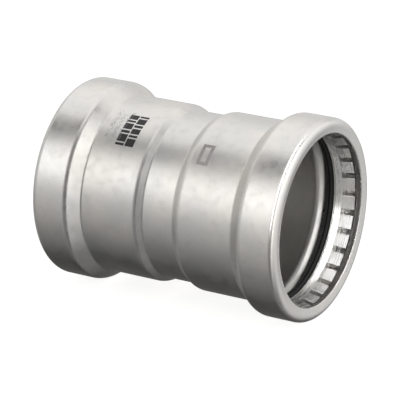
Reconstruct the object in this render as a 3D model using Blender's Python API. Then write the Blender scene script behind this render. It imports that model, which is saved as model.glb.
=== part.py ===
"""Press coupling for 4 inch steel pipe.

One formed steel body joins two pipe ends. The collar at each end holds a toothed grip ring, a thin separator
ring and a rubber seal. The pipe axis is X, and the origin is the middle of the coupling on that axis.
"""

import math

import bmesh
import bpy

# Driving dimensions, in metres.
PIPE_RADIUS = 0.05715
PIPE_CLEARANCE = 0.00055
HALF_LENGTH = 0.0935
WALL = 0.0040
COLLAR_RADIUS = 0.0695
MOUTH_RADIUS = 0.0590
LIP_WIDTH = 0.0050

# The formed tube, along the middle of its wall. X is measured from the middle of the coupling.
SOCKET_MID_RADIUS = PIPE_RADIUS + PIPE_CLEARANCE + WALL / 2
COLLAR_MID_RADIUS = COLLAR_RADIUS - WALL / 2
STOP_HEIGHT = 0.0035
STOP_MID_RADIUS = SOCKET_MID_RADIUS - STOP_HEIGHT
STOP_HALF_WIDTH = 0.0120
STOP_SLOPE_END = 0.0175
SHOULDER_START = 0.0582
SHOULDER_END = 0.0677
STOP_BEND = 0.0050
SHOULDER_BEND = 0.0050
RIM_BEND = 0.0030
LIP_CHAMFER = 0.0006

# The stack inside each collar, from the lip inwards.
CHAMBER_RADIUS = COLLAR_RADIUS - WALL
LIP_FACE = HALF_LENGTH - LIP_WIDTH
RING_RADIUS = CHAMBER_RADIUS - 0.0006
AXIAL_PLAY = 0.0016
SEATING_GAP = 0.0004

TOOTH_COUNT = 28
TOOTH_SHARE = 0.70
TOOTH_LENGTH = 0.0088
BAND_WIDTH = 0.0048
BAND_CHAMFER = 0.0008
TIP_BORE = 0.0605
GRIP_BORE = 0.0583
CUTTING_BORE = 0.0578
GRIP_SPLIT = 0.0030

SEPARATOR_WIDTH = 0.0014
SEPARATOR_BORE = 0.0582
SEPARATOR_ROUND_OFF = 0.0004
SEPARATOR_SPLIT = 0.0010

SEAL_WIDTH = 0.0056
SEAL_RADIUS = CHAMBER_RADIUS - 0.0005
SEAL_FRONT_LIP = PIPE_RADIUS - 0.0003
SEAL_REAR_LIP = PIPE_RADIUS
SEAL_VALLEY = PIPE_RADIUS + 0.0010
SEAL_THROAT = PIPE_RADIUS + 0.0015
SEAL_CHAMFER = 0.0008
SEAL_SHOULDER_DROP = 0.0044

BODY_SEGMENTS = 64
RING_SEGMENTS = 64
SHARP_ANGLE = math.radians(35)

GRIP_BAND_X = LIP_FACE - AXIAL_PLAY - TOOTH_LENGTH - BAND_WIDTH
SEPARATOR_X = GRIP_BAND_X - SEATING_GAP - SEPARATOR_WIDTH
SEAL_FACE_X = SEPARATOR_X - SEATING_GAP


def clear_scene():
    for old in list(bpy.data.objects):
        bpy.data.objects.remove(old, do_unlink=True)


def material(name, colour, roughness, metallic):
    made = bpy.data.materials.new(name)
    made.use_nodes = True
    shader = made.node_tree.nodes["Principled BSDF"]
    shader.inputs["Base Color"].default_value = (*colour, 1.0)
    shader.inputs["Roughness"].default_value = roughness
    shader.inputs["Metallic"].default_value = metallic
    return made


def heading(start, end):
    """The unit direction from one (x, r) point to the next."""
    length = math.dist(start, end)
    return ((end[0] - start[0]) / length, (end[1] - start[1]) / length)


def bend(before, corner, after, radius, steps):
    """The arc that rounds one corner of a path, as (point, direction of travel) pairs."""
    into = heading(before, corner)
    out = heading(corner, after)
    turn = math.atan2(into[0] * out[1] - into[1] * out[0], into[0] * out[0] + into[1] * out[1])
    setback = radius * math.tan(abs(turn) / 2)
    start = (corner[0] - into[0] * setback, corner[1] - into[1] * setback)
    side = math.copysign(radius, turn)
    centre = (start[0] - into[1] * side, start[1] + into[0] * side)
    arc = []
    for step in range(steps + 1):
        angle = turn * step / steps
        along = into[0] * math.cos(angle) - into[1] * math.sin(angle)
        up = into[1] * math.cos(angle) + into[0] * math.sin(angle)
        arc.append(((centre[0] + up * side, centre[1] - along * side), (along, up)))
    return arc


def rounded_path(corners, radii, steps):
    """The line through the corners with each inner corner rounded, as (point, direction of travel) pairs."""
    path = [(corners[0], heading(corners[0], corners[1]))]
    for before, corner, after, radius, count in zip(corners, corners[1:], corners[2:], radii, steps):
        path += bend(before, corner, after, radius, count)
    path.append((corners[-1], heading(corners[-2], corners[-1])))
    return path


def offset(path, distance):
    """The path moved to the left of its direction of travel, which is outwards where it runs along +X."""
    return [(x - up * distance, r + along * distance) for (x, r), (along, up) in path]


def even_angles(segments):
    """Angles round the axis with a flat side, not a corner, at the bottom."""
    return [2 * math.pi * (step + 0.5) / segments for step in range(segments)]


def swept(outline, angles, closed):
    """A bmesh of the closed outline of (x, r) points carried round the X axis, capped if it isn't closed."""
    mesh = bmesh.new()
    rings = [
        [mesh.verts.new((x, r * math.sin(angle), r * math.cos(angle))) for x, r in outline]
        for angle in angles
    ]
    pairs = list(zip(rings, rings[1:]))
    if closed:
        pairs.append((rings[-1], rings[0]))
    for ring, following in pairs:
        for index in range(len(outline)):
            after = (index + 1) % len(outline)
            mesh.faces.new((ring[index], ring[after], following[after], following[index]))
    if not closed:
        mesh.faces.new(rings[0])
        mesh.faces.new(list(reversed(rings[-1])))
    bmesh.ops.recalc_face_normals(mesh, faces=mesh.faces)
    return mesh


def finished(mesh, name, finish):
    """The bmesh as a smooth-shaded mesh with its material."""
    data = bpy.data.meshes.new(name)
    mesh.to_mesh(data)
    mesh.free()
    data.materials.append(finish)
    data.shade_smooth()
    data.set_sharp_from_angle(angle=SHARP_ANGLE)
    return data


def place(name, data, x=0.0, turned_round=False):
    """An object on the axis. Turned round, it faces the left mouth."""
    made = bpy.data.objects.new(name, data)
    bpy.context.scene.collection.objects.link(made)
    made.location.x = -x if turned_round else x
    made.rotation_euler.z = math.pi if turned_round else 0.0


def place_pair(name, data, x):
    place(f"{name}_right", data, x)
    place(f"{name}_left", data, x, turned_round=True)


def lip_end():
    """The chamfered end of the lip, from its outer side to its inner side."""
    return [
        (HALF_LENGTH, MOUTH_RADIUS + LIP_CHAMFER),
        (HALF_LENGTH - LIP_CHAMFER, MOUTH_RADIUS),
        (LIP_FACE + LIP_CHAMFER, MOUTH_RADIUS),
        (LIP_FACE, MOUTH_RADIUS + LIP_CHAMFER),
    ]


def tube_line(lip_middle):
    """The tube's line from the middle of the coupling to the lip, which turns in at lip_middle."""
    corners = [
        (0.0, STOP_MID_RADIUS),
        (STOP_HALF_WIDTH, STOP_MID_RADIUS),
        (STOP_SLOPE_END, SOCKET_MID_RADIUS),
        (SHOULDER_START, SOCKET_MID_RADIUS),
        (SHOULDER_END, COLLAR_MID_RADIUS),
        (lip_middle, COLLAR_MID_RADIUS),
        (lip_middle, MOUTH_RADIUS),
    ]
    radii = [STOP_BEND, STOP_BEND, SHOULDER_BEND, SHOULDER_BEND, RIM_BEND]
    return rounded_path(corners, radii, steps=[1, 1, 2, 2, 3])[1:-1]


def coupling_body(finish):
    """The formed tube: pipe stop, socket, shoulder, collar and rolled-in lip, the same at both ends."""
    outer = offset(tube_line(HALF_LENGTH - WALL / 2), WALL / 2)
    inner = offset(tube_line(LIP_FACE + WALL / 2), -WALL / 2)
    half = outer + lip_end() + inner[::-1]
    outline = half + [(-x, r) for x, r in reversed(half)]
    return finished(swept(outline, even_angles(BODY_SEGMENTS), closed=True), "coupling_body", finish)


def grow_teeth(mesh, pitch, notch):
    """Pull the band's mouth side out, between the notches, into teeth whose bore opens towards the tips."""
    roots = []
    for face in mesh.faces:
        centre = face.calc_center_median()
        turned = math.atan2(centre.y, centre.z) % pitch
        on_mouth_side = math.isclose(centre.x, BAND_WIDTH, rel_tol=1e-4)
        if on_mouth_side and notch / 2 < turned < pitch - notch / 2:
            roots.append(face)
    grown = bmesh.ops.extrude_face_region(mesh, geom=roots)
    tips = [part for part in grown["geom"] if isinstance(part, bmesh.types.BMVert)]
    middle = (GRIP_BORE + RING_RADIUS) / 2
    for tip in tips:
        widening = TIP_BORE / GRIP_BORE if tip.co.yz.length < middle else 1.0
        tip.co = (tip.co.x + TOOTH_LENGTH, tip.co.y * widening, tip.co.z * widening)
    bmesh.ops.delete(mesh, geom=roots, context="FACES")
    bmesh.ops.recalc_face_normals(mesh, faces=mesh.faces)


def grip_ring(finish):
    """A split band with teeth towards the mouth. Its local X starts at the band's inner face."""
    pitch = 2 * math.pi / TOOTH_COUNT
    tooth = pitch * TOOTH_SHARE
    notch = pitch - tooth
    half_split = GRIP_SPLIT / 2 / RING_RADIUS
    outline = [
        (0.0, GRIP_BORE + BAND_CHAMFER),
        (0.0, RING_RADIUS - BAND_CHAMFER),
        (BAND_CHAMFER, RING_RADIUS),
        (BAND_WIDTH, RING_RADIUS),
        (BAND_WIDTH, GRIP_BORE),
        (BAND_WIDTH / 2, CUTTING_BORE),
    ]
    angles = [half_split]
    for index in range(TOOTH_COUNT):
        start = pitch * index + notch / 2
        angles += [start, start + tooth / 2, start + tooth]
    angles.append(2 * math.pi - half_split)
    mesh = swept(outline, angles, closed=False)
    grow_teeth(mesh, pitch, notch)
    return finished(mesh, "grip_ring", finish)


def separator_ring(finish):
    """A thin split washer with a rounded bore, between the grip ring's cutting edge and the seal."""
    half_split = SEPARATOR_SPLIT / 2 / SEPARATOR_BORE
    outline = [
        (0.0, SEPARATOR_BORE + SEPARATOR_ROUND_OFF),
        (0.0, RING_RADIUS),
        (SEPARATOR_WIDTH, RING_RADIUS),
        (SEPARATOR_WIDTH, SEPARATOR_BORE + SEPARATOR_ROUND_OFF),
        (SEPARATOR_WIDTH / 2, SEPARATOR_BORE),
    ]
    sweep = 2 * math.pi - 2 * half_split
    angles = [half_split + sweep * step / RING_SEGMENTS for step in range(RING_SEGMENTS + 1)]
    return finished(swept(outline, angles, closed=False), "separator_ring", finish)


def seal(finish):
    """A rubber profile ring with two lips. Its local X starts at the face beside the separator ring.

    It runs from there towards -X, and its back slopes in to sit inside the body's shoulder.
    """
    outline = [
        (0.0, SEAL_THROAT),
        (0.0, SEAL_RADIUS - SEAL_CHAMFER),
        (-SEAL_CHAMFER, SEAL_RADIUS),
        (-SEAL_WIDTH * 0.33, SEAL_RADIUS),
        (-SEAL_WIDTH * 0.80, SEAL_RADIUS - SEAL_SHOULDER_DROP * 0.66),
        (-SEAL_WIDTH, SEAL_RADIUS - SEAL_SHOULDER_DROP),
        (-SEAL_WIDTH * 0.97, SEAL_THROAT),
        (-SEAL_WIDTH * 0.80, SEAL_REAR_LIP),
        (-SEAL_WIDTH * 0.67, SEAL_REAR_LIP),
        (-SEAL_WIDTH * 0.53, SEAL_VALLEY),
        (-SEAL_WIDTH * 0.36, SEAL_FRONT_LIP),
        (-SEAL_WIDTH * 0.20, SEAL_FRONT_LIP),
    ]
    return finished(swept(outline, even_angles(RING_SEGMENTS), closed=True), "seal", finish)


def main():
    clear_scene()
    plated = material("zinc_nickel_steel", (0.58, 0.56, 0.53), 0.32, 1.0)
    stainless = material("stainless_steel", (0.66, 0.65, 0.63), 0.22, 1.0)
    rubber = material("black_rubber", (0.012, 0.012, 0.012), 0.45, 0.0)
    place("coupling_body", coupling_body(plated))
    place_pair("grip_ring", grip_ring(stainless), GRIP_BAND_X)
    place_pair("separator_ring", separator_ring(stainless), SEPARATOR_X)
    place_pair("seal", seal(rubber), SEAL_FACE_X)


main()
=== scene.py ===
"""Looks of a press coupling for 4 inch steel pipe: smooth metal, toothed rings, rubber seals and print.

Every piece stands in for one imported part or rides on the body. X is the pipe axis and Z is up. Angles round
the axis start at the top and grow towards the viewer, at -Y.
"""

import math
import random

import bmesh
import bpy
from mathutils import Matrix, Vector

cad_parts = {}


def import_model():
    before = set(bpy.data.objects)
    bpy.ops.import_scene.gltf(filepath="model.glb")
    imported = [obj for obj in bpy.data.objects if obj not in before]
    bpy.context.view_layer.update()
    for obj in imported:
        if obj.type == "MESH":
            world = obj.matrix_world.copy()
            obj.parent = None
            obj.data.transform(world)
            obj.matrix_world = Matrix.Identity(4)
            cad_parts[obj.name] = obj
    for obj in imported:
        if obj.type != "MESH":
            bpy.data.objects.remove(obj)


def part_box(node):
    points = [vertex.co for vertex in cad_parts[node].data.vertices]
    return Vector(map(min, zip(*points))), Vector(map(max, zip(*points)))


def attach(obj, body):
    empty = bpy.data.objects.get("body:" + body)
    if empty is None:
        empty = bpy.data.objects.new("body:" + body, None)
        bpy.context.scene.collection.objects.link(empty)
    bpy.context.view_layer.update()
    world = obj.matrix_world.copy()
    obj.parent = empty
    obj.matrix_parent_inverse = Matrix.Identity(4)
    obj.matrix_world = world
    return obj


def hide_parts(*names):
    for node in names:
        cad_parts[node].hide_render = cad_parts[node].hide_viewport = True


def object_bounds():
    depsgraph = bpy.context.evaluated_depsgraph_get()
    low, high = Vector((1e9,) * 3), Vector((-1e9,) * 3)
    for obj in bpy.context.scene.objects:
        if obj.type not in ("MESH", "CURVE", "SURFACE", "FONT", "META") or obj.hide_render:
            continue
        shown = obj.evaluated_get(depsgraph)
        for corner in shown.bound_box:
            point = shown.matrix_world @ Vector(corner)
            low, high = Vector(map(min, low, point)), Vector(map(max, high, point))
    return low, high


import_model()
cad_low, cad_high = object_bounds()
MM = 0.001

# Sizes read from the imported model. Rings and seals are drawn smaller by CLEARANCE, so that they don't touch
# the tube round them.
CLEARANCE = 0.1 * MM
HALF_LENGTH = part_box("coupling_body")[1].x
COLLAR_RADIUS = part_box("coupling_body")[1].z
GRIP_START, GRIP_END = (corner.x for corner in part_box("grip_ring_right"))
RING_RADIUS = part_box("grip_ring_right")[1].y - CLEARANCE
SEPARATOR_START, SEPARATOR_END = (corner.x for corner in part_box("separator_ring_right"))
SEAL_START, SEAL_END = (corner.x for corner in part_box("seal_right"))
SEAL_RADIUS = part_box("seal_right")[1].z - CLEARANCE

# The formed tube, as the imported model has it, but for the lip: its face leans in here and is flat there.
PIPE_RADIUS = 57.15 * MM
WALL = 4.0 * MM
SOCKET_RADIUS = PIPE_RADIUS + 0.55 * MM + WALL
STOP_HEIGHT = 3.5 * MM
STOP_HALF_WIDTH = 12.0 * MM
STOP_SLOPE_END = 17.5 * MM
SHOULDER_START = 58.2 * MM
SHOULDER_END = 67.7 * MM
MOUTH_RADIUS = 59.0 * MM
LIP_WIDTH = 5.0 * MM
LIP_DISH = 1.2 * MM
STOP_BEND = 5.0 * MM
SHOULDER_BEND = 5.0 * MM
RIM_BEND = 3.0 * MM
LIP_ROUNDING = 0.9 * MM

# The dish makes the rim turn through more than a right angle. The corners of the lip lie further out by
# LIP_REACH, so that the rounded rim still ends at HALF_LENGTH.
LIP_LEAN = math.atan(LIP_DISH / (COLLAR_RADIUS - WALL / 2 - MOUTH_RADIUS))
LIP_REACH = RIM_BEND * (math.tan(math.pi / 4 + LIP_LEAN / 2) - 1)

# The toothed ring.
TOOTH_COUNT = 28
TOOTH_SHARE = 0.70
BAND_WIDTH = 4.8 * MM
BAND_CHAMFER = 0.8 * MM
EDGE_BEVEL = 0.22 * MM
GRIP_BORE = 58.3 * MM
CUTTING_BORE = 57.8 * MM
RIDGE_LENGTH = 1.5 * MM
RIDGE_BACK = 0.05 * MM
TIP_BORE = 60.5 * MM
GRIP_SPLIT = 3.0 * MM
SEPARATOR_BORE = 58.2 * MM
SEPARATOR_SPLIT = 1.0 * MM

# How finely round shapes are divided. Each bend also has a point before and after it, SUPPORT away.
BODY_SEGMENTS = 256
RING_SEGMENTS = 224
STEPS_PER_BEND = 9
STEPS_PER_CORNER = 5
STEPS_PER_TOOTH = 6
SUPPORT = 0.25 * MM

# The print, placed along X and, in degrees from the top, round the tube. BAR_GAP and the bars' widths are
# in mm.
INK_THICKNESS = 0.03 * MM
INK_STEP_DEGREES = 1.5
BAR_COLUMNS = (
    (-38.4 * MM, (4.4, 1.8, 5.2, 2.2, 6.0, 1.8)),
    (-31.0 * MM, (1.8, 5.2, 2.2, 4.4, 1.8, 6.0)),
)
BAR_DEGREES = 33
BAR_GAP = 1.1
BAR_HALF_LENGTH = 3.3 * MM
DOT_START = -52.0 * MM
DOT_DEGREES = 18
DOT_SIZE = 0.45 * MM
DOT_PITCH = 0.85 * MM
DOT_ROWS = 3
DOT_ROW_PITCH = 4.6 * MM
DOTS_PER_ROW = 30
DOT_LINES = 4
DOTS_LEFT_OUT = 0.45
FRAME_X = 26.5 * MM
FRAME_DEGREES = 41
FRAME_HALF_WIDTH = 3.2 * MM
FRAME_HALF_LENGTH = 8.0 * MM
FRAME_LINE = 2.4 * MM


# Outlines of (x, r) points.


def heading(start, end):
    """The unit direction from one point to the next."""
    length = math.dist(start, end)
    return ((end[0] - start[0]) / length, (end[1] - start[1]) / length)


def bend(before, corner, after, radius, steps):
    """The arc that rounds one corner, with a point before and after it, as (point, direction) pairs."""
    into = heading(before, corner)
    out = heading(corner, after)
    turn = math.atan2(into[0] * out[1] - into[1] * out[0], into[0] * out[0] + into[1] * out[1])
    setback = radius * math.tan(abs(turn) / 2)
    start = (corner[0] - into[0] * setback, corner[1] - into[1] * setback)
    end = (corner[0] + out[0] * setback, corner[1] + out[1] * setback)
    side = math.copysign(radius, turn)
    centre = (start[0] - into[1] * side, start[1] + into[0] * side)
    arc = [((start[0] - into[0] * SUPPORT, start[1] - into[1] * SUPPORT), into)]
    for step in range(steps + 1):
        angle = turn * step / steps
        along = into[0] * math.cos(angle) - into[1] * math.sin(angle)
        up = into[1] * math.cos(angle) + into[0] * math.sin(angle)
        arc.append(((centre[0] + up * side, centre[1] - along * side), (along, up)))
    arc.append(((end[0] + out[0] * SUPPORT, end[1] + out[1] * SUPPORT), out))
    return arc


def rounded_line(corners, radii):
    """The bends of an open line of corners, as (point, direction) pairs."""
    path = []
    for before, corner, after, radius in zip(corners, corners[1:], corners[2:], radii):
        path += bend(before, corner, after, radius, STEPS_PER_BEND)
    return path


def rounded_outline(corners, radii):
    """A closed outline with every corner rounded, as points."""
    count = len(corners)
    outline = []
    for index, (corner, radius) in enumerate(zip(corners, radii)):
        arc = bend(corners[index - 1], corner, corners[(index + 1) % count], radius, STEPS_PER_CORNER)
        outline += [point for point, _ in arc[1:-1]]
    return outline


def offset(path, distance):
    """The path moved to the left of its direction of travel."""
    return [(x - up * distance, r + along * distance) for (x, r), (along, up) in path]


# Meshes.


def ring_of(mesh, outline, angle):
    """One copy of the outline in the mesh, turned to the angle."""
    y = -math.sin(angle)
    z = math.cos(angle)
    return [mesh.verts.new((x, r * y, r * z)) for x, r in outline]


def skin(mesh, row, following, closed):
    """Faces between two copies of one line or, if closed, of one outline."""
    count = len(row) if closed else len(row) - 1
    for index in range(count):
        after = (index + 1) % len(row)
        mesh.faces.new((row[index], row[after], following[after], following[index]))


def swept(outline, angles, closed):
    """The closed outline carried round the X axis, capped if the sweep isn't a full turn."""
    mesh = bmesh.new()
    rings = [ring_of(mesh, outline, angle) for angle in angles]
    pairs = list(zip(rings, rings[1:]))
    if closed:
        pairs.append((rings[-1], rings[0]))
    for ring, following in pairs:
        skin(mesh, ring, following, closed=True)
    if not closed:
        mesh.faces.new(rings[0])
        mesh.faces.new(list(reversed(rings[-1])))
    bmesh.ops.recalc_face_normals(mesh, faces=mesh.faces)
    return mesh


def full_turn(segments):
    """Angles all the way round, from the top."""
    return [2 * math.pi * step / segments for step in range(segments)]


def split_turn(segments, half_gap):
    """Angles from one side of a split at the top, round to its other side."""
    sweep = 2 * math.pi - 2 * half_gap
    return [half_gap + sweep * step / segments for step in range(segments + 1)]


def to_data(mesh, name, material, sharp_degrees=40):
    """The bmesh as a smooth-shaded mesh with its material."""
    data = bpy.data.meshes.new(name)
    mesh.to_mesh(data)
    mesh.free()
    data.materials.append(material)
    data.shade_smooth()
    data.set_sharp_from_angle(angle=math.radians(sharp_degrees))
    return data


def add_piece(name, data, body, stands_for=None, x=0.0, turned_round=False):
    """A piece on the axis that rides on a body. Turned round, it faces the left mouth."""
    piece = bpy.data.objects.new(name, data)
    bpy.context.scene.collection.objects.link(piece)
    piece.location.x = -x if turned_round else x
    piece.rotation_euler.z = math.pi if turned_round else 0.0
    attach(piece, body)
    if stands_for:
        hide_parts(stands_for)
    return piece


def soften_edges(piece, width):
    """Small bevels on the piece's sharp edges, with the flat faces kept flat in shading."""
    edges = piece.modifiers.new("edges", "BEVEL")
    edges.width = width
    edges.segments = 2
    edges.limit_method = "ANGLE"
    edges.angle_limit = math.radians(30)
    edges.harden_normals = False
    shading = piece.modifiers.new("shading", "WEIGHTED_NORMAL")
    shading.keep_sharp = True


# Materials.


class Nodes:
    """Short calls for the shader nodes of a material or a world."""

    def __init__(self, owner, place="Object"):
        owner.use_nodes = True
        self.tree = owner.node_tree
        self.place = self.node("ShaderNodeTexCoord").outputs[place]

    def node(self, kind, **settings):
        made = self.tree.nodes.new(kind)
        for key, value in settings.items():
            setattr(made, key, value)
        return made

    def join(self, value, socket):
        """Link the value to the socket if it is an output, or else set the socket to it."""
        if isinstance(value, bpy.types.NodeSocket):
            self.tree.links.new(value, socket)
        else:
            socket.default_value = value

    def math(self, operation, *values):
        made = self.node("ShaderNodeMath", operation=operation)
        for socket, value in zip(made.inputs, values):
            self.join(value, socket)
        return made.outputs[0]

    def axes(self):
        """X, Y and Z of the place."""
        made = self.node("ShaderNodeSeparateXYZ")
        self.join(self.place, made.inputs[0])
        return made.outputs

    def outward(self):
        """How far the surface faces away from the X axis: 1 on the outside of a tube, -1 in its bore."""
        away = self.node("ShaderNodeVectorMath", operation="MULTIPLY")
        self.join(self.place, away.inputs[0])
        away.inputs[1].default_value = (0.0, 1.0, 1.0)
        unit = self.node("ShaderNodeVectorMath", operation="NORMALIZE")
        self.join(away.outputs[0], unit.inputs[0])
        made = self.node("ShaderNodeVectorMath", operation="DOT_PRODUCT")
        self.join(unit.outputs[0], made.inputs[0])
        self.join(self.node("ShaderNodeTexCoord").outputs["Normal"], made.inputs[1])
        return made.outputs["Value"]

    def noise(self, scale, detail=3.0, roughness=0.55, stretch=(1.0, 1.0, 1.0)):
        """Noise in the piece's own space. The stretch gives how quickly it changes along each axis."""
        mapping = self.node("ShaderNodeMapping")
        mapping.inputs["Scale"].default_value = stretch
        self.join(self.place, mapping.inputs["Vector"])
        made = self.node("ShaderNodeTexNoise")
        made.inputs["Scale"].default_value = scale
        made.inputs["Detail"].default_value = detail
        made.inputs["Roughness"].default_value = roughness
        self.join(mapping.outputs[0], made.inputs["Vector"])
        return made.outputs["Fac"]

    def ramp(self, value, low, high, bottom=0.0, top=1.0, curve="SMOOTHSTEP"):
        """From bottom to top as the value goes from low to high."""
        made = self.node("ShaderNodeMapRange", interpolation_type=curve)
        for socket, number in zip(made.inputs, (value, low, high, bottom, top)):
            self.join(number, socket)
        return made.outputs["Result"]

    def mix(self, factor, first, second):
        made = self.node("ShaderNodeMix", data_type="FLOAT")
        for socket, value in zip((made.inputs[0], made.inputs[2], made.inputs[3]), (factor, first, second)):
            self.join(value, socket)
        return made.outputs[0]

    def blend(self, factor, first, second):
        """A colour between two, which are colours or outputs."""
        made = self.node("ShaderNodeMix", data_type="RGBA")
        self.join(factor, made.inputs[0])
        for socket, value in ((made.inputs[6], first), (made.inputs[7], second)):
            self.join((*value, 1.0) if isinstance(value, tuple) else value, socket)
        return made.outputs[2]

    def bump(self, height, distance, strength, onto=None):
        made = self.node("ShaderNodeBump")
        made.inputs["Distance"].default_value = distance
        made.inputs["Strength"].default_value = strength
        self.join(height, made.inputs["Height"])
        if onto:
            self.join(onto, made.inputs["Normal"])
        return made.outputs["Normal"]

    def finish(self, colour, roughness, normal, **fixed):
        """Feed the Principled shader. The fixed numbers are the same all over the surface."""
        shader = self.tree.nodes["Principled BSDF"]
        self.join(colour, shader.inputs["Base Color"])
        self.join(roughness, shader.inputs["Roughness"])
        self.join(normal, shader.inputs["Normal"])
        for name, number in fixed.items():
            shader.inputs[name.replace("_", " ")].default_value = number


def plated_steel():
    """Satin zinc-nickel plating: warm grey with faint clouds, drawn along the tube, smoother on the collars.

    The rims are brighter, and the bore, which faces the X axis, is darker: painted shade inside the tube.
    """
    material = bpy.data.materials.new("plated_steel")
    nodes = Nodes(material)
    from_middle = nodes.math("ABSOLUTE", nodes.axes()["X"])
    collar = nodes.ramp(from_middle, SHOULDER_START, SHOULDER_END)
    rim = nodes.ramp(from_middle, HALF_LENGTH - RIM_BEND, HALF_LENGTH - 0.5 * MM)

    clouds = nodes.noise(28, detail=5.0, roughness=0.6)
    blotches = nodes.noise(160, detail=3.0)
    grain = nodes.noise(1400, detail=2.0, roughness=0.7)
    drawn = nodes.noise(60, detail=3.0, stretch=(0.5, 12.0, 12.0))
    turned = nodes.noise(60, detail=3.0, stretch=(22.0, 0.5, 0.5))

    plating = nodes.blend(nodes.ramp(clouds, 0.36, 0.64), (0.600, 0.598, 0.585), (0.680, 0.655, 0.625))
    mottled = nodes.blend(nodes.ramp(blotches, 0.50, 0.78, 0.0, 0.28), plating, (0.470, 0.455, 0.435))
    speckled = nodes.blend(nodes.ramp(grain, 0.60, 0.80, 0.0, 0.40), mottled, (0.400, 0.390, 0.375))
    brightened = nodes.blend(nodes.math("MULTIPLY", rim, 0.3), speckled, (0.820, 0.810, 0.790))
    # Painted shade: surfaces that face the X axis, inside the tube, are blended towards dark grey.
    bore = nodes.ramp(nodes.outward(), -0.2, -0.6, 0.0, 0.50)
    colour = nodes.blend(bore, brightened, (0.440, 0.430, 0.415))

    base = nodes.mix(collar, 0.36, 0.30)
    cloudy = nodes.math("ADD", base, nodes.ramp(clouds, 0.3, 0.7, -0.04, 0.04))
    roughness = nodes.math("ADD", cloudy, nodes.ramp(blotches, 0.3, 0.7, -0.03, 0.04))

    lined = nodes.bump(nodes.mix(collar, drawn, turned), 0.05 * MM, 0.25)
    dented = nodes.bump(blotches, 0.10 * MM, 0.15, onto=lined)
    normal = nodes.bump(grain, 0.02 * MM, 0.35, onto=dented)
    nodes.finish(colour, roughness, normal, Metallic=1.0)
    return material


def stainless_steel():
    """Bright hardened stainless with fine turning lines round it."""
    material = bpy.data.materials.new("stainless_steel")
    nodes = Nodes(material)
    lines = nodes.noise(90, detail=4.0, stretch=(24.0, 0.6, 0.6))
    clouds = nodes.noise(45, detail=3.0)
    colour = nodes.blend(nodes.ramp(clouds, 0.35, 0.65), (0.780, 0.775, 0.760), (0.880, 0.870, 0.850))
    roughness = nodes.math(
        "ADD", nodes.ramp(lines, 0.3, 0.7, 0.24, 0.40), nodes.ramp(clouds, 0.3, 0.7, -0.02, 0.03)
    )
    nodes.finish(colour, roughness, nodes.bump(lines, 0.03 * MM, 0.35), Metallic=1.0)
    return material


def rubber():
    """Smooth moulded black rubber, with a little bloom and dust on it."""
    material = bpy.data.materials.new("rubber")
    nodes = Nodes(material)
    bloom = nodes.noise(70, detail=5.0, roughness=0.6)
    pores = nodes.noise(2200, detail=2.0)
    colour = nodes.blend(nodes.ramp(bloom, 0.45, 0.75), (0.003, 0.003, 0.003), (0.008, 0.008, 0.008))
    roughness = nodes.ramp(bloom, 0.3, 0.7, 0.46, 0.60)
    nodes.finish(colour, roughness, nodes.bump(pores, 0.02 * MM, 0.3), Specular_IOR_Level=0.3)
    return material


def ink(name, dark, light, patchiness):
    """Thin printed ink that has taken unevenly on the metal."""
    material = bpy.data.materials.new(name)
    nodes = Nodes(material)
    patches = nodes.noise(900, detail=4.0, roughness=0.7)
    colour = nodes.blend(nodes.ramp(patches, 1.0 - patchiness, 1.0), dark, light)
    roughness = nodes.ramp(patches, 0.3, 0.7, 0.40, 0.60)
    nodes.finish(colour, roughness, nodes.bump(patches, 0.01 * MM, 0.3))
    return material


# Pieces.


def tube_line(lip_middle):
    """The tube's line from the middle of the coupling to the lip, which turns in at lip_middle."""
    socket = SOCKET_RADIUS - WALL / 2
    collar = COLLAR_RADIUS - WALL / 2
    corners = [
        (0.0, socket - STOP_HEIGHT),
        (STOP_HALF_WIDTH, socket - STOP_HEIGHT),
        (STOP_SLOPE_END, socket),
        (SHOULDER_START, socket),
        (SHOULDER_END, collar),
        (lip_middle + LIP_REACH, collar),
        (lip_middle + LIP_REACH - LIP_DISH, MOUTH_RADIUS),
    ]
    return rounded_line(corners, [STOP_BEND, STOP_BEND, SHOULDER_BEND, SHOULDER_BEND, RIM_BEND])


def lip_end():
    """The rounded end of the lip, from its outer side to its inner side."""
    corners = [
        (HALF_LENGTH + LIP_REACH, COLLAR_RADIUS),
        (HALF_LENGTH + LIP_REACH - LIP_DISH, MOUTH_RADIUS),
        (HALF_LENGTH - LIP_WIDTH, MOUTH_RADIUS),
        (HALF_LENGTH - LIP_WIDTH, COLLAR_RADIUS),
    ]
    return [point for point, _ in rounded_line(corners, [LIP_ROUNDING, LIP_ROUNDING])]


def body_mesh(material):
    """The formed tube: pipe stop, socket, shoulder, collar and rolled-in lip, the same at both ends."""
    outer = offset(tube_line(HALF_LENGTH - WALL / 2), WALL / 2)
    inner = offset(tube_line(HALF_LENGTH - LIP_WIDTH + WALL / 2), -WALL / 2)
    half = outer + lip_end() + inner[::-1]
    outline = half + [(-x, r) for x, r in reversed(half)]
    return to_data(swept(outline, full_turn(BODY_SEGMENTS), closed=True), "coupling_body", material)


def cutting_ridge(edge):
    """One saw-tooth ridge in the bore of the band: a slope up from the mouth's side and a steep back."""
    return [
        (edge + RIDGE_LENGTH - RIDGE_BACK, GRIP_BORE),
        (edge, CUTTING_BORE),
    ]


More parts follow.
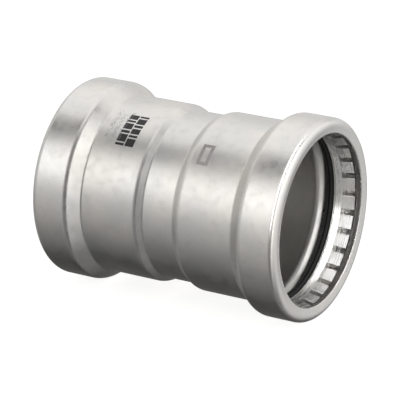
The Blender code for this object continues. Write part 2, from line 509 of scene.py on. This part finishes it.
def grip_ring_mesh(material):
    """A split band with cutting ridges in its bore and teeth towards the mouth."""
    length = GRIP_END - GRIP_START
    root = [(BAND_WIDTH, RING_RADIUS), (BAND_WIDTH, GRIP_BORE)]
    ridges = cutting_ridge(2 * RIDGE_LENGTH) + cutting_ridge(RIDGE_LENGTH) + cutting_ridge(0.0)
    band = root + ridges + [
        (0.0, GRIP_BORE + BAND_CHAMFER),
        (0.0, RING_RADIUS - BAND_CHAMFER),
        (BAND_CHAMFER, RING_RADIUS),
    ]
    tooth = [
        root[0],
        (length - BAND_CHAMFER, RING_RADIUS),
        (length, RING_RADIUS - BAND_CHAMFER),
        (length, TIP_BORE),
        root[1],
    ]
    pitch = 2 * math.pi / TOOTH_COUNT
    half_tooth = pitch * TOOTH_SHARE / 2
    half_split = GRIP_SPLIT / 2 / RING_RADIUS

    mesh = bmesh.new()
    stations = [(half_split, False)]
    for index in range(TOOTH_COUNT):
        middle = pitch * (index + 0.5)
        for step in range(STEPS_PER_TOOTH + 1):
            angle = middle + half_tooth * (2 * step / STEPS_PER_TOOTH - 1)
            stations.append((angle, step < STEPS_PER_TOOTH))
    stations.append((2 * math.pi - half_split, False))

    rows = []
    for angle, _ in stations:
        band_row = ring_of(mesh, band, angle)
        tip_row = ring_of(mesh, tooth[1:-1], angle)
        rows.append((band_row, [band_row[0], *tip_row, band_row[1]]))

    for (_, in_tooth), (band_row, tooth_row), (next_band, next_tooth) in zip(stations, rows, rows[1:]):
        skin(mesh, band_row[1:] + band_row[:1], next_band[1:] + next_band[:1], closed=False)
        if in_tooth:
            skin(mesh, tooth_row, next_tooth, closed=False)
        else:
            mesh.faces.new((band_row[0], band_row[1], next_band[1], next_band[0]))
    was_tooth = False
    for (_, in_tooth), (_, tooth_row) in zip(stations, rows):
        if in_tooth != was_tooth:
            mesh.faces.new(tooth_row)
        was_tooth = in_tooth
    mesh.faces.new(rows[0][0])
    mesh.faces.new(rows[-1][0])
    loose = [vert for vert in mesh.verts if not vert.link_faces]
    bmesh.ops.delete(mesh, geom=loose, context="VERTS")
    bmesh.ops.recalc_face_normals(mesh, faces=mesh.faces)
    return to_data(mesh, "grip_ring", material, sharp_degrees=28)


def separator_mesh(material):
    """A thin split washer with a rounded bore."""
    width = SEPARATOR_END - SEPARATOR_START
    outline = rounded_outline(
        [(0.0, SEPARATOR_BORE), (0.0, RING_RADIUS), (width, RING_RADIUS), (width, SEPARATOR_BORE)],
        [0.6 * MM, 0.2 * MM, 0.2 * MM, 0.6 * MM],
    )
    angles = split_turn(RING_SEGMENTS, SEPARATOR_SPLIT / 2 / SEPARATOR_BORE)
    return to_data(swept(outline, angles, closed=False), "separator_ring", material)


def seal_mesh(material):
    """A moulded rubber profile with two lips, whose back slopes in to fit the shoulder."""
    width = SEAL_END - SEAL_START
    throat = PIPE_RADIUS + 1.5 * MM
    corners = [
        (0.0, throat),
        (0.0, SEAL_RADIUS),
        (-0.33 * width, SEAL_RADIUS),
        (-0.80 * width, SEAL_RADIUS - 2.9 * MM),
        (-width, SEAL_RADIUS - 4.4 * MM),
        (-0.97 * width, throat),
        (-0.73 * width, PIPE_RADIUS - 0.15 * MM),
        (-0.53 * width, PIPE_RADIUS + 1.2 * MM),
        (-0.28 * width, PIPE_RADIUS - 0.45 * MM),
    ]
    radii = [0.5, 0.8, 1.0, 1.0, 0.6, 0.6, 0.5, 0.6, 0.5]
    outline = rounded_outline(corners, [radius * MM for radius in radii])
    return to_data(swept(outline, full_turn(RING_SEGMENTS), closed=True), "seal", material, sharp_degrees=60)


# Printed marks. They are ink and carry no words.


def patch(mesh, x_range, angle_range):
    """A thin raised patch of ink that follows the tube."""
    sweep = angle_range[1] - angle_range[0]
    steps = max(1, math.ceil(math.degrees(sweep) / INK_STEP_DEGREES))
    outline = [
        (x_range[0], SOCKET_RADIUS),
        (x_range[1], SOCKET_RADIUS),
        (x_range[1], SOCKET_RADIUS + INK_THICKNESS),
        (x_range[0], SOCKET_RADIUS + INK_THICKNESS),
    ]
    rows = [ring_of(mesh, outline, angle_range[0] + sweep * step / steps) for step in range(steps + 1)]
    for row, following in zip(rows, rows[1:]):
        skin(mesh, row, following, closed=True)
    mesh.faces.new(rows[0])
    mesh.faces.new(rows[-1])


def bar_block_mesh(material):
    """Two columns of plain printed bars across the tube, near its left end."""
    mesh = bmesh.new()
    for centre_x, widths in BAR_COLUMNS:
        x_range = (centre_x - BAR_HALF_LENGTH, centre_x + BAR_HALF_LENGTH)
        along = -(sum(widths) + BAR_GAP * (len(widths) - 1)) / 2
        for width in widths:
            start = math.radians(BAR_DEGREES) + along * MM / SOCKET_RADIUS
            patch(mesh, x_range, (start, start + width * MM / SOCKET_RADIUS))
            along += width + BAR_GAP
    bmesh.ops.recalc_face_normals(mesh, faces=mesh.faces)
    return to_data(mesh, "printed_bars", material)


def dot_rows_mesh(material):
    """Rows of small printed dots beside the bars, without any pattern of letters."""
    rng = random.Random(7)
    mesh = bmesh.new()
    for row in range(DOT_ROWS):
        for column in range(DOTS_PER_ROW):
            for line in range(DOT_LINES):
                if rng.random() < DOTS_LEFT_OUT:
                    continue
                x = DOT_START + row * DOT_ROW_PITCH + line * DOT_PITCH
                angle = math.radians(DOT_DEGREES) + column * DOT_PITCH / SOCKET_RADIUS
                patch(mesh, (x, x + DOT_SIZE), (angle, angle + DOT_SIZE / SOCKET_RADIUS))
    bmesh.ops.recalc_face_normals(mesh, faces=mesh.faces)
    return to_data(mesh, "printed_dots", material)


def frame_mark_mesh(material):
    """A faint open frame printed on the right half of the tube."""
    middle = math.radians(FRAME_DEGREES)
    half_sweep = FRAME_HALF_LENGTH / SOCKET_RADIUS
    half_opening = FRAME_HALF_WIDTH - FRAME_LINE / 2
    mesh = bmesh.new()
    for side in (-1, 1):
        edge = FRAME_X + side * FRAME_HALF_WIDTH
        long_side = (edge - FRAME_LINE / 2, edge + FRAME_LINE / 2)
        patch(mesh, long_side, (middle - half_sweep, middle + half_sweep))
        end = middle + side * half_sweep
        inner = end - side * FRAME_LINE / SOCKET_RADIUS
        patch(mesh, (FRAME_X - half_opening, FRAME_X + half_opening), (min(end, inner), max(end, inner)))
    bmesh.ops.recalc_face_normals(mesh, faces=mesh.faces)
    return to_data(mesh, "printed_frame", material)


def build_coupling():
    """Every piece on its body: the tube, then the three rings of each end, then the print."""
    plated = plated_steel()
    stainless = stainless_steel()
    black = rubber()
    add_piece("body_shell", body_mesh(plated), "body", "coupling_body")
    grip = grip_ring_mesh(stainless)
    separator = separator_mesh(stainless)
    seal = seal_mesh(black)
    for side, turned in (("right", False), ("left", True)):
        toothed = add_piece(
            f"toothed_ring_{side}",
            grip,
            f"grip_{side}",
            f"grip_ring_{side}",
            GRIP_START,
            turned,
        )
        soften_edges(toothed, EDGE_BEVEL)
        add_piece(
            f"thin_ring_{side}",
            separator,
            f"separator_{side}",
            f"separator_ring_{side}",
            SEPARATOR_START,
            turned,
        )
        add_piece(f"lip_seal_{side}", seal, "body", f"seal_{side}", SEAL_END, turned)
    black_ink = ink("black_ink", (0.008, 0.008, 0.009), (0.06, 0.06, 0.06), 0.40)
    grey_ink = ink("grey_ink", (0.30, 0.295, 0.285), (0.50, 0.49, 0.47), 0.60)
    faint_ink = ink("faint_ink", (0.46, 0.44, 0.42), (0.60, 0.58, 0.56), 0.60)
    add_piece("printed_bars", bar_block_mesh(black_ink), "body")
    add_piece("printed_dots", dot_rows_mesh(grey_ink), "body")
    add_piece("printed_frame", frame_mark_mesh(faint_ink), "body")


# Stage, light and camera.


def floor():
    """A pale floor with only a faint shadow. The metal doesn't mirror it: it sees the light tent instead."""
    size = 12.0
    gap_below = 0.05 * MM
    own_glow = 0.75
    bpy.ops.mesh.primitive_plane_add(size=size, location=(0.0, 0.0, cad_low.z - gap_below))
    plane = bpy.context.object
    plane.name = "floor"
    material = bpy.data.materials.new("pale_floor")
    nodes = Nodes(material)
    tone = nodes.noise(6, detail=2.0)
    colour = nodes.blend(tone, (0.90, 0.90, 0.895), (0.93, 0.93, 0.925))
    nodes.finish(colour, 0.9, nodes.bump(tone, 1 * MM, 0.1), Emission_Strength=own_glow)
    nodes.tree.nodes["Principled BSDF"].inputs["Emission Color"].default_value = (1.0, 1.0, 1.0, 1.0)
    plane.data.materials.append(material)
    plane.visible_glossy = False


# The light tent as the metal sees it: how bright it is by the angle round the pipe axis, in degrees from
# straight up. Positive angles are on the viewer's side.
TENT = (
    (-180, 0.05),
    (-130, 0.12),
    (-100, 0.60),
    (-84, 0.92),
    (-72, 0.80),
    (-42, 1.25),
    (0, 1.30),
    (11, 0.28),
    (26, 0.30),
    (44, 1.45),
    (60, 1.85),
    (72, 1.60),
    (86, 0.92),
    (98, 0.70),
    (144, 0.27),
    (180, 0.10),
)
TENT_PEAK = 2.0

# How bright the other parts of the tent are. A pair is (at the bottom, at the top) of that part.
FRONT_GLOW = (0.22, 1.30)
GAP_GLOW = 0.10
RIGHT_GLOW = (0.45, 2.40)
FAR_RIGHT_GLOW = (0.20, 1.60)
LEFT_GLOW = (0.35, 0.80)
BACK_CORNER_GLOW = (0.74, 1.30)


def sideways_of(nodes, x, z):
    """How far right a direction points, with the edges of the walls leaning in above and below the axis."""
    lean_up = nodes.math("MULTIPLY", z, 0.6)
    lean_down = nodes.math("MULTIPLY", z, -1.0)
    lean = nodes.math("MAXIMUM", lean_up, lean_down)
    spread = nodes.math("SQRT", nodes.math("SUBTRACT", 1.0, nodes.math("MULTIPLY", lean, lean)))
    return nodes.math("DIVIDE", x, spread)


def ring_level(nodes, y, z):
    """How bright the tent's rings are at the angle round the pipe axis."""
    turn = nodes.math("ARCTAN2", nodes.math("MULTIPLY", y, -1.0), z)
    rings = nodes.node("ShaderNodeValToRGB")
    nodes.join(nodes.ramp(turn, -math.pi, math.pi, curve="LINEAR"), rings.inputs[0])
    stops = rings.color_ramp.elements
    for _ in TENT[2:]:
        stops.new(0.5)
    for stop, (degrees, level) in zip(stops, TENT):
        stop.position = degrees / 360 + 0.5
        stop.color = (level / TENT_PEAK,) * 3 + (1.0,)
    return nodes.math("MULTIPLY", rings.outputs[0], TENT_PEAK)


def tent_level(nodes):
    """How bright the tent is in each direction, from X, Y and Z of the direction.

    Rings round the pipe axis, and over them, one after the other: a dim front right of the middle, a dark
    gap, a bright wall at the right, a duller one at the far right, a wall at the left, and a corner behind on
    the right.
    """
    x, y, z = nodes.axes()
    sideways = sideways_of(nodes, x, z)
    level = ring_level(nodes, y, z)

    in_front = nodes.math("MINIMUM", nodes.ramp(x, -0.10, 0.05), nodes.ramp(y, 0.5, 0.1))
    level = nodes.mix(in_front, level, nodes.ramp(z, 0.80, 0.98, *FRONT_GLOW))

    level = nodes.mix(nodes.ramp(sideways, 0.46, 0.51), level, GAP_GLOW)
    right_wall = nodes.ramp(z, -0.9, 0.05, *RIGHT_GLOW, curve="LINEAR")
    level = nodes.mix(nodes.ramp(sideways, 0.66, 0.70), level, right_wall)
    far_right_wall = nodes.ramp(z, -0.9, 0.4, *FAR_RIGHT_GLOW, curve="LINEAR")
    level = nodes.mix(nodes.ramp(sideways, 0.81, 0.88), level, far_right_wall)

    left_wall = nodes.ramp(z, -0.35, 0.05, *LEFT_GLOW, curve="LINEAR")
    level = nodes.mix(nodes.ramp(x, -0.65, -0.80), level, left_wall)

    in_corner = nodes.math("MINIMUM", nodes.ramp(x, 0.25, 0.42), nodes.ramp(y, 0.2, 0.5))
    return nodes.mix(in_corner, level, nodes.ramp(z, -0.4, 0.4, *BACK_CORNER_GLOW))


def world():
    """Plain white to the camera, an even glow to matt surfaces, and the light tent to the metal."""
    even_glow = 0.35
    made = bpy.data.worlds.new("studio")
    nodes = Nodes(made, place="Generated")
    path = nodes.node("ShaderNodeLightPath")
    level = nodes.mix(path.outputs["Is Diffuse Ray"], tent_level(nodes), even_glow)
    level = nodes.mix(path.outputs["Is Camera Ray"], level, 1.0)
    nodes.join(level, nodes.tree.nodes["Background"].inputs["Strength"])
    nodes.tree.nodes["Background"].inputs["Color"].default_value = (1.0, 0.995, 0.985, 1.0)
    bpy.context.scene.world = made


def mouth_lights():
    """Narrow beams into the right mouth, from just behind the top round to the front."""
    mouth = Vector((HALF_LENGTH - LIP_WIDTH, 0.0, 0.0))
    distance = 1.2
    rightward = 0.25
    for degrees in range(-10, 90, 15):
        turn = math.radians(degrees)
        towards = Vector((rightward, -math.sin(turn), math.cos(turn))).normalized()
        name = f"mouth_light_{degrees}"
        light = bpy.data.lights.new(name, "SPOT")
        light.spot_size = math.radians(6)
        light.spot_blend = 0.3
        light.shadow_soft_size = 0.03
        light.energy = 4.7
        made = bpy.data.objects.new(name, light)
        bpy.context.scene.collection.objects.link(made)
        made.location = mouth + towards * distance
        made.rotation_mode = "QUATERNION"
        made.rotation_quaternion = towards.to_track_quat("Z", "Y")


def camera():
    """A long lens from the front right, a little above the coupling."""
    azimuth = math.radians(30.0)
    elevation = math.radians(19.4)
    roll = math.radians(0.44)
    distance = 1.666
    aim_right = -0.75 * MM
    aim_up = -1.98 * MM
    back = Vector(
        (
            math.sin(azimuth) * math.cos(elevation),
            -math.cos(azimuth) * math.cos(elevation),
            math.sin(elevation),
        )
    )
    right = Vector((math.cos(azimuth), math.sin(azimuth), 0.0))
    up = back.cross(right)
    data = bpy.data.cameras.new("camera")
    data.sensor_width = 36.0
    data.lens = 219.9
    data.clip_start = 0.05
    made = bpy.data.objects.new("camera", data)
    bpy.context.scene.collection.objects.link(made)
    made.location = back * distance + right * aim_right + up * aim_up
    turned = back.to_track_quat("Z", "Y")
    made.rotation_mode = "QUATERNION"
    made.rotation_quaternion = turned @ Matrix.Rotation(roll, 3, "Z").to_quaternion()
    bpy.context.scene.camera = made


def picture():
    """Plain colour, without a film look, for a clean pale background."""
    view = bpy.context.scene.view_settings
    view.view_transform = "Standard"
    view.look = "None"


build_coupling()
floor()
world()
mouth_lights()
camera()
picture()
